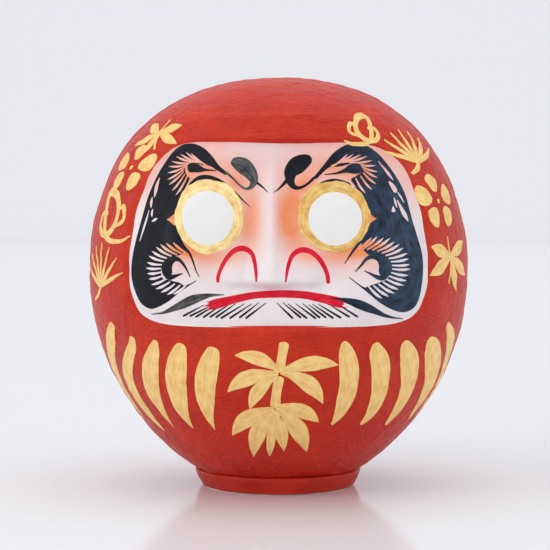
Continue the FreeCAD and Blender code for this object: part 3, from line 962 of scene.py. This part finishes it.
FACE_INK = {  # (out, height, width) points of each stroke; the two sides are drawn by the same hand
    "lid": {
        "right": [(16.4, 171.2, 0.3), (21.9, 176.8, 1.0), (27.3, 181.2, 1.4), (33, 182.6, 2.2),
                  (37.5, 181.9, 2.4), (41, 180.2, 3.0), (45, 176.5, 3.4), (49.5, 169, 3)],
        "left": [(12, 168.2, 0.3), (15.6, 171.5, 0.7), (20.4, 176, 1.2), (26.3, 180.8, 1.5),
                 (31, 183.2, 1.9), (36, 184.5, 2.3), (41, 184, 2.6), (45.4, 180.6, 3.2), (50.5, 173, 3.4)],
    },
    "lower_lid": {
        "right": [(51.8, 157.5, 3.2), (49.3, 152, 2.4), (46, 147.6, 1.5), (43.6, 144.3, 1.3),
                  (41, 140.3, 0.8), (39, 137.2, 0.3)],
        "left": [(55.5, 154.5, 3.2), (51.5, 147.5, 2.3), (47.5, 143.4, 1.5), (45.5, 140, 1.1),
                 (43, 133.5, 0.7), (41, 130, 0.3)],
    },
    "curl": {
        "right": [(22, 194.5, 3.4), (18.8, 193.8, 7.4), (14.5, 191.5, 9.8), (10.9, 187.8, 8),
                  (10.2, 184.2, 5.4), (10.9, 180.9, 3.7), (13.2, 178.8, 2.4), (16.4, 179, 1.5),
                  (20, 181.2, 1.4), (23.6, 184.6, 1.5)],
        "left": [(22.9, 192.5, 2.8), (19.4, 192.1, 7.2), (15.3, 190.2, 8.9), (11.9, 186.8, 7.4),
                 (10.2, 183.5, 5.4), (10.2, 181.2, 3.8), (11.9, 178.9, 2.2), (14.6, 178.2, 1.3),
                 (18, 180.2, 1.1), (22.2, 184.2, 1.1), (26.4, 187.5, 1.4)],
    },
    "tail": {
        "right": [(9.3, 183.6, 2.6), (6.2, 180.4, 1.5), (3.6, 177.9, 0.8), (1.0, 176.3, 0.3)],
        "left": [(9.3, 182.1, 1.6), (7.8, 181.2, 1.4), (4.8, 178.9, 0.9), (2.1, 176.3, 0.3)],
    },
    "crane_eye": {
        "right": [(28.8, 185.8, 0.3), (35.2, 186.7, 1.0), (39.6, 188.1, 2.4), (42.8, 189.1, 5.0),
                  (45.8, 189.3, 5.8), (48.6, 189.2, 4.6)],
        "left": [(31.3, 188.0, 0.3), (37.7, 188.4, 1.3), (41.3, 188.9, 3.8), (44.9, 189.7, 5.4),
                 (48.8, 189.4, 5.0)],
    },
    "tortoise_eye": {
        "right": [(44.4, 133, 0.3), (47.7, 136.6, 1.0), (50.2, 139.8, 1.6), (53.6, 141.4, 2.8),
                  (57.5, 140.3, 4.6), (59.7, 136.8, 6.2), (59.7, 132.8, 6.2), (58.5, 129.7, 3.6),
                  (55.6, 130, 2.0), (52.6, 131.7, 1.1), (49.1, 133.5, 0.3)],
        "left": [(46.4, 130.1, 0.3), (48.9, 134.8, 1.0), (51.8, 138.4, 1.6), (54.9, 140, 2.6),
                 (58.6, 138.6, 5.0), (60.5, 135.3, 6.2), (60, 132.2, 6.0), (58.5, 129.8, 3.6),
                 (55.3, 130.5, 1.8), (52.9, 131.3, 1.0), (50.8, 132, 0.3)],
    },
    "moustache": {
        "right": [(30.5, 118.4, 0.3), (35.5, 118.2, 1.2), (41.7, 116.8, 3.4), (46.2, 115.2, 4.8),
                  (51.2, 112.9, 4.6), (55.7, 110.6, 3.2), (60.2, 108.2, 2.0), (65, 106.6, 1.0),
                  (69.7, 105.6, 0.3)],
        "left": [(26.6, 120.4, 0.3), (34.3, 120.1, 1.8), (39.9, 119, 3.8), (45.5, 117.3, 5.2),
                 (51.3, 114.6, 4.6), (57.2, 112, 3.0), (63.2, 109.5, 1.4), (70.8, 108.2, 0.3)],
    },
}
UNDER_LIP = 116.2
CHIN = 107.4
WHISKERS = {  # out from the nose: from under the lip to the chin, each about straight
    "right": [(2.8, 11.7), (6.1, 16.1), (8.9, 19.3), (13, 24), (16.7, 26.2), (20, 29.4), (22.2, 33.2),
              (25, 37.3), (31.7, 41.7), (36.1, 46.1)],
    "left": [(3, 14.5), (7, 18), (11, 23.5), (15, 28.5), (20, 31.5), (24, 35), (28, 39), (31, 43.5),
             (34, 47), (38.5, 51)],
}

for name, side in SIDES.items():
    stroke = {key: shapes[name] for key, shapes in FACE_INK.items()}
    band = [
        banded(RIGHT_BAND if side > 0 else LEFT_BAND, side, PAINT_LEVEL["band"]),
        face_stroke(stroke["lid"], side, PAINT_LEVEL["lid"]),
        face_stroke(stroke["lower_lid"], side, PAINT_LEVEL["lid"]),
    ]
    make_piece("ink_band_" + name, band, black_ink)
    curl = [face_stroke(stroke["curl"], side, PAINT_LEVEL["curl"])]
    # the left brow and moustache take the grey ink with its painted window reflection
    brow_ink = black_ink if side > 0 else thin_ink_and_sheen
    make_piece("ink_brow_" + name, curl, brow_ink)
    tail = [face_stroke(stroke["tail"], side, PAINT_LEVEL["tail"])]
    make_piece("ink_tail_" + name, tail, black_ink)
    whiskers = []
    for k, (root, tip) in enumerate(WHISKERS[name]):
        level = UNDER_LIP - 0.04 * root + 0.3 * math.sin(2.1 * k)
        foot = CHIN + 0.012 * tip + 0.25 * math.sin(1.7 * k)
        lean = tip - root
        points = [(root, level, 0.3), (root + 0.4 * lean, 0.6 * level + 0.4 * foot, 0.8),
                  (root + 0.8 * lean, 0.2 * level + 0.8 * foot, 1.15), (tip, foot, 1.05)]
        whiskers.append(face_stroke(points, side, PAINT_LEVEL["whisker"]))
    make_piece("whiskers_" + name, whiskers, black_ink)
    moustache = [face_stroke(stroke["moustache"], side, PAINT_LEVEL["moustache"])]
    make_piece("moustache_" + name, moustache, brow_ink)
    eyes = [face_stroke(stroke[key], side, PAINT_LEVEL["ink_eye"]) for key in ("crane_eye", "tortoise_eye")]
    make_piece("ink_eyes_" + name, eyes, black_ink)

# Feathers and fins: fine pale hairs scratched back with white over the ink, in two fans round the
# crane and the tortoise, and a few wedges of white left bare at the band's outer edge.
HAIR_WIDTH = {"feathers": 1.2, "fins": 1.5}
FANS = {  # hairs, then the arcs of their roots and of their tips: centre, radii, degrees at the ends
    "feathers_right": (12, ((40, 188), (9.5, 4.6), (170, -80)), ((45, 186), (12, 11.5), (110, -80))),
    "feathers_left": (12, ((43, 188), (8, 4.3), (150, -65)), ((49, 185.5), (12.5, 12.5), (100, -75))),
    "fins_right": (18, ((50, 135), (13.5, 10), (110, -85)), ((56, 135), (17, 17), (100, -80))),
    "fins_left": (15, ((50, 134), (14, 8.5), (100, -95)), ((57, 134.5), (16.8, 14.5), (90, -92))),
}
BARE_WEDGES = {
    "right": [
        [(57.4, 193.2, 0.3), (60.5, 189, 0.9), (62.6, 185.8, 1.3), (64.9, 182.4, 0.3)],
        [(62.6, 181.8, 0.8), (64.2, 179.6, 2.0), (65.6, 177, 2.2), (66, 175.6, 1.2)],
        [(66.9, 175.9, 0.4), (68.4, 173.6, 0.9), (70.2, 170.2, 0.3)],
        [(65, 173, 0.4), (65.6, 170.6, 1.1), (66.4, 167.6, 0.4)],
        [(64.4, 168.4, 0.4), (64.5, 166.6, 1.6), (64.6, 165.2, 2.6)],
        [(66.6, 171.6, 0.4), (68.6, 167.4, 1.5), (70.4, 163.6, 2.1), (72.3, 159.8, 0.4)],
    ],
    "left": [
        [(66.2, 183.8, 0.4), (67.7, 180, 1.6), (68.6, 176.4, 1.8), (69.3, 173, 0.4)],
        [(70.6, 173.2, 0.4), (71.2, 170.2, 1.5), (71.3, 167.4, 0.5)],
        [(70, 166.8, 0.4), (70.6, 164.4, 1.3), (70.4, 162.4, 0.5)],
        [(66.9, 161.8, 0.4), (68.6, 160.8, 1.5), (70.4, 159.8, 0.4)],
        [(72.4, 166, 0.3), (74.2, 159.5, 1.0), (76, 153.5, 0.8), (77.6, 148.6, 0.3)],
    ],
}


def along_arc(arc, count):
    """count places along an ellipse's arc, evenly spaced in angle, as (out, height)."""
    centre, radii, ends = arc
    turn = np.radians(np.linspace(*ends, count))
    return np.array(centre) + np.array(radii) * np.stack([np.cos(turn), np.sin(turn)], axis=1)


def fan(count, roots, tips, fat, side):
    """Hairs from one arc to another: each thin at its root, widest past its middle, and pointed."""
    hairs = []
    for root, tip in zip(along_arc(roots, count), along_arc(tips, count)):
        tip = tip + rng.uniform(-0.4, 0.4, 2)
        bow = np.array([tip[1] - root[1], root[0] - tip[0]]) * 0.04
        hair = [
            (*root, 0.5 * fat),
            (*(0.6 * root + 0.4 * tip + bow), 0.8 * fat),
            (*(0.35 * root + 0.65 * tip + bow), fat),
            (*(0.15 * root + 0.85 * tip + 0.5 * bow), 0.65 * fat),
            (*tip, 0.15),
        ]
        hairs.append(face_stroke(hair, side, PAINT_LEVEL["hair"], 0.9))
    return hairs


for name, side in SIDES.items():
    for kind, fat in HAIR_WIDTH.items():
        hairs = fan(*FANS[f"{kind}_{name}"], fat, side)
        make_piece(f"{kind}_{name}", hairs, face_white)
    wedges = [face_stroke(points, side, PAINT_LEVEL["hair"]) for points in BARE_WEDGES[name]]
    make_piece("bare_wedges_" + name, wedges, face_white)

# Corners of the eyes: an orange point beside each gold ring.
orange_paint = make_brushed(
    "orange_paint", (0.80, 0.30, 0.12, 1), (0.78, 0.19, 0.04, 1), 0.4, 0.0, 0.0001, (0.4, 0.6)
)
EYE_CORNERS = {
    "right": [(50.6, 161.8, 7.6), (51.8, 161.8, 6.4), (53.6, 161.8, 3.0), (55.6, 161.8, 0.3)],
    "left": [(54.4, 161.2, 7.8), (56, 161.2, 6.8), (58, 161.2, 3.4), (60.6, 161.2, 0.3)],
}
for name, points in EYE_CORNERS.items():
    corner = [face_stroke(points, SIDES[name], PAINT_LEVEL["eye_corner"])]
    make_piece("eye_corner_" + name, corner, orange_paint)

# Red lines: the mouth in one stroke that spreads where the brush turns back, and an arch over each
# wing of the nose.
red_line = make_brushed(
    "red_line", (0.72, 0.030, 0.060, 1), (0.62, 0.003, 0.020, 1), 0.4, 0.0, 0.00012, (0.32, 0.56), shine=0.15
)
NOSTRILS = {
    "right": [(7.7, 127.6, 0.8), (8.4, 133, 1.7), (9.8, 138.6, 2.2), (12, 142.6, 2.6), (16.4, 144.8, 3.0),
              (21, 143.9, 2.8), (25.4, 140.3, 2.6), (28.5, 135.6, 2.4), (30.3, 130.6, 2.2),
              (30.7, 126.4, 2.0)],
    "left": [(8.5, 127.7, 0.8), (8.6, 132, 1.8), (9.5, 138.6, 2.2), (11.5, 143.4, 2.6), (16, 145.6, 3),
             (21, 144.4, 2.8), (25.5, 140, 2.5), (28.6, 134.6, 2.3), (30.2, 130, 2.1), (30.2, 127, 1.7)],
}
MOUTH = [(-38.6, 114.4, 3.6), (-34.5, 115.3, 5.4), (-24, 118, 4.3), (-14, 120, 3.7), (-4, 120.8, 3.9),
         (6, 120.8, 4), (16, 120, 4.2), (26, 118, 4.9), (32, 116.7, 5), (36, 115.8, 3.4)]


def front_stroke(points, level):
    """A brush stroke across the middle of the front, through (across, height, width) points."""
    across, height, v, along, reach = brushed_grid(points)
    return {
        "outside": on_front(across, height, paint_rise(level, v)),
        "inside": on_front(across, height, FILM_ROOT + 0 * across),
        "brush": np.stack([along, reach], axis=-1),
    }


MOUTH_ENDS = [  # where the hairs of the brush part as it lifts
    [(-29, 116.2, 2.2), (-35.5, 113.5, 1.7), (-40.4, 111.8, 0.3)],
    [(-30, 117, 2.0), (-36.5, 115.3, 1.5), (-41.2, 114.0, 0.3)],
    [(-28, 117.9, 1.6), (-34.5, 117.2, 1.3), (-39.4, 116.3, 0.3)],
    [(27, 116, 2.2), (33, 114.2, 1.6), (37.6, 113.1, 0.3)],
    [(28, 118.8, 1.6), (33.5, 118.2, 1.5), (39.0, 116.9, 0.3)],
]
mouth = [front_stroke(MOUTH, PAINT_LEVEL["mouth"])]
mouth += [front_stroke(points, PAINT_LEVEL["mouth_end"]) for points in MOUTH_ENDS]
make_piece("mouth_line", mouth, red_line)
for name, points in NOSTRILS.items():
    arch = [face_stroke(points, SIDES[name], PAINT_LEVEL["nostril"])]
    make_piece("nostril_line_" + name, arch, red_line)

# Robe folds: gold paint in bold strokes round the chest, laid on wet at the shoulder and pulled down
# to a point. Each is one pass of a flat brush.
DEGREE = math.pi / 180


def robe_stroke(points, rise=PAINT_LEVEL["gold"], spacing=1.0):
    """A brush stroke on the robe, through (degrees round from the nose, height, width) points."""
    heights = [point[1] for point in points]
    unit = float(body_radius(np.mean(heights))) * DEGREE
    turned, height, v, along, reach = brushed_grid(points, unit, spacing)
    angle = turned * DEGREE
    radius, dent = body_radius(height), recess(angle, height)
    return {
        "outside": on_round(radius, angle, height, paint_rise(rise, v), dent),
        "inside": on_round(radius, angle, height, FILM_ROOT + 0 * angle, dent),
        "brush": np.stack([along, reach], axis=-1),
    }


LEFT_FOLDS = [
    [(-60, 100.5, 5), (-65.5, 90, 10), (-70.5, 80, 12), (-73.5, 70, 13), (-75, 60, 12), (-74.5, 50, 9),
     (-72.5, 42, 0.6)],
    [(-49.9, 94.5, 3.6), (-51.8, 88, 6.6), (-56.4, 80, 8.4), (-60.8, 70, 10.8), (-62.3, 60, 11.8),
     (-61.6, 50, 9.6), (-59.3, 42, 5), (-57.4, 37, 0.5)],
    [(-39.9, 93.5, 3), (-41.4, 88, 7.4), (-44.3, 80, 11), (-47.4, 70, 12.8), (-49.2, 60, 12),
     (-49.2, 50, 7), (-48, 41, 0.5)],
    [(-30, 92.5, 4.6), (-31.3, 88, 8.6), (-33.4, 80, 12.4), (-35.8, 70, 14), (-37.3, 60, 13.2),
     (-37.6, 51, 9), (-36.1, 42, 0.6)],
    [(-19.7, 91.5, 5.4), (-20.5, 87, 8.6), (-22.2, 80, 11.4), (-24.5, 70, 12.6), (-26, 60, 11.8),
     (-26.5, 51, 7), (-26, 42, 0.6)],
]
RIGHT_FOLDS = [
    [(19.6, 94.8, 2.4), (20.7, 89, 8), (22.3, 80, 11), (23.3, 70, 11.2), (23.4, 60, 11.2),
     (22.4, 51, 6.6), (20.6, 45.5, 1.2)],
    [(30.3, 93.3, 3), (31.2, 88, 9), (33.6, 80, 12), (35.4, 70, 12), (36.6, 60, 11.2), (36.2, 51, 8),
     (33.6, 44.5, 2)],
    [(41.2, 92.8, 4), (42.9, 88, 9.4), (46, 80, 13.4), (48.9, 70, 13.6), (50.2, 60, 12.2),
     (49.9, 51, 9.6), (47.8, 42.5, 2.4)],
    [(52.6, 93.2, 4), (55.2, 88, 12), (59.2, 80, 15.4), (63.4, 70, 16), (65.6, 60, 14.6), (65.9, 51, 9.6),
     (65, 43.5, 1.6)],
    [(62.6, 99.8, 3.6), (68, 92, 10), (72, 84, 13), (75.4, 74, 14), (77, 62, 12), (76.6, 52, 8),
     (75, 43, 0.6)],
]
for name, folds in (("left", LEFT_FOLDS), ("right", RIGHT_FOLDS)):
    for number, points in enumerate(folds, start=1):
        make_piece(f"robe_fold_{name}_{number}", [robe_stroke(points)], gold_paint)

# Chest picture: a spray of bamboo in gold, in the painter's four moves: a jointed stem, and leaves
# that start thin at a joint, swell and run out to a point.


def leaf(base, heading, length, width, bend=0.0):
    """(across, up, width) points of one leaf from its base: a bent line, widest past its middle."""
    turn = heading * DEGREE
    points = []
    for share, fat in ((0, 0.25), (0.18, 0.5), (0.42, 0.95), (0.62, 1), (0.82, 0.62), (1, 0.06)):
        lean = turn + bend * DEGREE * share
        across = base[0] + length * share * math.cos(lean)
        up = base[1] + length * share * math.sin(lean)
        points.append((across, up, width * fat))
    return points


def on_chest(points, centre, wide=1.0):
    """Moves points in millimetres about a centre (degrees, height) to places on the robe."""
    unit = float(body_radius(centre[1])) * DEGREE / wide
    return [(centre[0] + across / unit, centre[1] + up, width) for across, up, width in points]


SPRAY_CENTRE = (-2.2, 61.0)
SPRAY_STEM = [
    [(6.5, 34, 5.6), (5.2, 25, 5), (4.2, 16.5, 5.8)],
    [(4.0, 14.6, 6), (2.6, 5, 5.2), (1.6, -4.5, 6.2)],
    [(1.3, -6.6, 6.2), (-0.4, -17, 5.4), (-2.2, -28, 4.6), (-3.4, -34.5, 1.0)],
]
SPRAY_LEAVES = [  # base, heading in degrees, length, width, bend
    ((4.5, 17), 28, 30, 8.4, -22),
    ((4.5, 17), -12, 31, 8.8, -26),
    ((4.0, 17), 128, 24, 7.8, 30),
    ((3.6, 16), 176, 30, 8.6, 26),
    ((3.0, 15), 212, 26, 7.6, 20),
    ((2.0, -4.5), -36, 36, 9.6, -14),
    ((2.2, -3.8), 2, 28, 8.2, -22),
    ((1.2, -5.0), 190, 33, 8.8, 20),
    ((0.8, -5.6), 226, 34, 9.0, 14),
    ((0.6, -6.4), -66, 26, 7.4, -8),
]
spray = [robe_stroke(on_chest(points, SPRAY_CENTRE)) for points in SPRAY_STEM]
leaf_level = PAINT_LEVEL["gold"] + 0.04
spray += [robe_stroke(on_chest(leaf(*shape), SPRAY_CENTRE), leaf_level) for shape in SPRAY_LEAVES]
make_piece("bamboo_spray", spray, gold_paint)

# Side pictures: plants and clouds in gold down both edges of the hood and the robe: plum blossom,
# pine needles, curling cloud and bamboo leaves, each made of a few brush strokes.


def plum_blossom(size):
    """Five round petals about a centre, as short fat dabs, and a dot between them."""
    strokes = [[(-0.8, 0, 2.4), (0.8, 0, 2.4)]]
    for k in range(5):
        turn = (90 + 72 * k) * DEGREE
        near, far = 0.3 * size, 0.9 * size
        strokes.append([
            (near * math.cos(turn), near * math.sin(turn), 0.24 * size),
            ((near + far) / 2 * math.cos(turn), (near + far) / 2 * math.sin(turn), 0.66 * size),
            (far * math.cos(turn), far * math.sin(turn), 0.60 * size),
        ])
    return strokes


def pine_needles(size):
    """A fan of needles from one foot, with a short twig under it."""
    strokes = [[(-0.55 * size, -0.95 * size, 1.6), (-0.2 * size, -0.75 * size, 2.6), (0, -0.5 * size, 2.2)]]
    for k in range(7):
        turn = (158 - 22.5 * k) * DEGREE
        tip = (1.35 * size * math.cos(turn), -0.5 * size + 1.35 * size * math.sin(turn), 0.5)
        strokes.append([(0, -0.5 * size, 2.2), (tip[0] * 0.5, -0.25 * size + tip[1] * 0.5, 2.6), tip])
    return strokes


def cloud_curl(size, hand):
    """A cloud: a spiral that opens into a trailing line, and a small second curl."""
    turn = np.linspace(0.3, 2.6, 11) * math.pi
    fat = min(1.0, size / 12)
    curl = [(hand * size * 0.135 * a * math.cos(a), size * 0.135 * a * math.sin(a), fat * (2.2 + 0.32 * a))
            for a in turn]
    trail = [curl[-1], (hand * size * 0.2, -0.62 * size, 3.6 * fat), (hand * size * 1.2, -0.85 * size, 2.4),
             (hand * size * 1.75, -0.6 * size, 0.5)]
    second = [(hand * size * 0.75, -0.35 * size, 1.2), (hand * size * 1.3, 0.0, 3.0 * fat),
              (hand * size * 1.1, 0.5 * size, 3.2 * fat), (hand * size * 0.75, 0.25 * size, 1.0)]
    return [curl, trail, second]


def leaf_sprig(size, hand):
    """Four bamboo leaves from one joint of a thin stem."""
    strokes = [[(0, 0.9 * size, 1.2), (hand * 0.1 * size, 0, 2.2), (-hand * 0.1 * size, -0.6 * size, 1.0)]]
    for heading, length in ((20, 1.2), (-30, 1.35), (205, 1.25), (160, 1.1), (-75, 1.15)):
        heading = heading if hand > 0 else 180 - heading
        strokes.append(leaf((hand * 0.1 * size, 0.25 * size), heading, length * size, 0.42 * size))
    return strokes


SIDE_PICTURES = {  # name: (degrees round, height, sideways stretch, strokes)
    "sprig_left": (-55, 206, 1.5, leaf_sprig(11, -1)),
    "plum_left": (-61.5, 189, 1.6, plum_blossom(14.5)),
    "cloud_left": (-67, 160, 1.25, cloud_curl(14.5, 1)),
    "pine_left": (-66.5, 130, 1.2, pine_needles(18.5)),
    "cloud_right": (41, 210, 1.3, cloud_curl(8.5, -1)),
    "pine_right": (58.5, 199, 1.4, pine_needles(14)),
    "plum_right": (60, 170, 1.35, plum_blossom(17)),
    "sprig_right": (62, 134, 1.2, leaf_sprig(18, 1)),
}
for name, (turned, level, wide, strokes) in SIDE_PICTURES.items():
    sheets = []
    for k, points in enumerate(strokes):
        rise = PAINT_LEVEL["side_picture"] + 0.03 * k
        sheets.append(robe_stroke(on_chest(points, (turned, level), wide), rise, 0.9))
    make_piece("gold_" + name, sheets, gold_paint)

# Studio: one seamless pale sheet under and behind the doll, a big soft window at the left, a weaker
# one at the right, and an even white room.
SWEEP_DEPTH = 2.6
SWEEP_BEND = 1.2
SWEEP_WALL = 3.4


def make_sweep():
    """The sheet's section is floor, a quarter circle and a wall, carried along X."""
    bend = np.linspace(-math.pi / 2, 0, 33)
    section = [(-4.0, 0.0), (-1.0, 0.0), (0.0, 0.0), (1.0, 0.0)]
    section += list(zip(SWEEP_DEPTH + SWEEP_BEND * np.cos(bend), SWEEP_BEND * (1 + np.sin(bend))))
    section.append((SWEEP_DEPTH + SWEEP_BEND, SWEEP_WALL))
    section = np.array(section)
    across = np.linspace(-5, 5, 21)
    x = across[None, :] + 0 * section[:, :1]
    y = section[:, :1] + 0 * x
    z = section[:, 1:] + 0 * x
    count = len(across)
    corner = (np.arange(len(section) - 1)[:, None] * count + np.arange(count - 1)).ravel()
    faces = np.stack([corner, corner + 1, corner + count + 1, corner + count], axis=1)
    mesh = bpy.data.meshes.new("studio_sweep")
    mesh.from_pydata(np.stack([x, y, z], axis=-1).reshape(-1, 3).tolist(), [], faces.tolist())
    mesh.polygons.foreach_set("use_smooth", np.ones(len(mesh.polygons), bool))
    sweep = bpy.data.objects.new("studio_sweep", mesh)
    bpy.context.scene.collection.objects.link(sweep)
    return sweep


sweep_material, tree, shader = new_material("studio_paper", 0.13, shine=0.1)
shader.inputs["Base Color"].default_value = (0.82, 0.83, 0.855, 1)
sweep = make_sweep()
sweep.data.materials.append(sweep_material)

LOOK_AT = (0.0, 0.0, 0.120)


def soft_window(name, place, target, size, power):
    """A square area light that faces the target."""
    light = bpy.data.lights.new(name, "AREA")
    light.shape = "RECTANGLE"
    light.size, light.size_y = size
    light.energy = power
    lamp = bpy.data.objects.new(name, light)
    lamp.location = place
    aim = np.array(target) - np.array(place)
    flat = math.hypot(aim[0], aim[1])
    lamp.rotation_euler = (math.atan2(flat, -aim[2]), 0, math.atan2(-aim[0], aim[1]))
    bpy.context.scene.collection.objects.link(lamp)
    return lamp


soft_window("window_left", (-1.3, -1.0, 0.9), LOOK_AT, (1.0, 1.0), 8.5)
soft_window("window_right", (1.6, -0.8, 0.5), LOOK_AT, (0.9, 1.0), 4)
soft_window("window_top", (0.0, 0.2, 1.7), LOOK_AT, (1.4, 1.0), 4.5)
soft_window("window_wall", (0.0, 1.4, 2.5), (0.0, 3.8, 0.8), (3.0, 0.6), 17)

world = bpy.data.worlds.new("white_room")
world.use_nodes = True
room = world.node_tree.nodes["Background"]
room.inputs["Color"].default_value = (0.98, 0.98, 1.0, 1)
room.inputs["Strength"].default_value = 0.84
bpy.context.scene.world = world
bpy.context.scene.view_settings.view_transform = "Standard"
bpy.context.scene.view_settings.look = "None"

CAMERA_DISTANCE = 1.5
CAMERA_HEIGHT = 0.227
LENS = 166.5
TILT = 3.91
PAN = 0.079

camera = bpy.data.cameras.new("camera")
camera.lens = LENS
camera.sensor_width = 36.0
camera.clip_end = 20.0
camera_object = bpy.data.objects.new("camera", camera)
camera_object.location = (0.0, -CAMERA_DISTANCE, CAMERA_HEIGHT)
camera_object.rotation_euler = ((90 - TILT) * DEGREE, 0, PAN * DEGREE)
bpy.context.scene.collection.objects.link(camera_object)
bpy.context.scene.camera = camera_object
